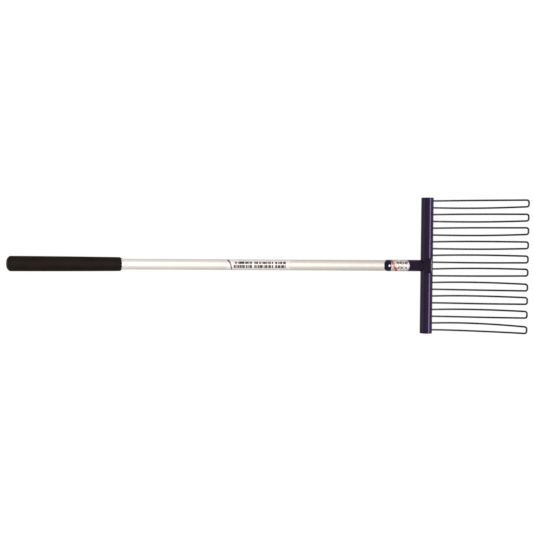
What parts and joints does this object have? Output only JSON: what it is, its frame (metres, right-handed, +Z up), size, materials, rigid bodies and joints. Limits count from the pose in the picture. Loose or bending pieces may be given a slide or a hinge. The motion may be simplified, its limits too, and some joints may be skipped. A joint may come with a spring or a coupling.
{
  "type": "bedding fork",
  "caption": "Long-handled bedding fork with a rubber grip, aluminium tube handle, painted tube head and dished tines of closed wire loops.",
  "frame": {"origin": "middle of the bounding box at floor level, under the handle with the fork lying flat, dished side up", "axes": "+X along the handle from the grip to the tine tips, +Y along the head bar, +Z up out of the dish"},
  "size_m": [1.3621, 0.356, 0.0471],
  "materials": {
    "grip_rubber": "matte, faintly grained",
    "tube_aluminium": "satin, drawn lengthways",
    "handle_label_film": "smooth film with plain dark marks",
    "head_paint": "gloss, dark violet blue",
    "rivet_aluminium": "bright",
    "socket_label_film": "silvery film with a red slash and plain dark marks",
    "wire_paint": "thin satin coat over spring wire"
  },
  "bodies": {
    "root": {"grip": "grip_rubber", "handle_tube": "tube_aluminium", "handle_label": "handle_label_film", "socket": "head_paint", "socket_rivet": "rivet_aluminium", "socket_label": "socket_label_film", "saddle_weld": "head_paint", "socket_tacks": "head_paint", "head_bar": "head_paint", "tine_welds": "head_paint", "tine_01": "wire_paint", "tine_02": "wire_paint", "tine_03": "wire_paint", "tine_04": "wire_paint", "tine_05": "wire_paint", "tine_06": "wire_paint", "tine_07": "wire_paint", "tine_08": "wire_paint", "tine_09": "wire_paint", "tine_10": "wire_paint"}
  },
  "joints": []
}
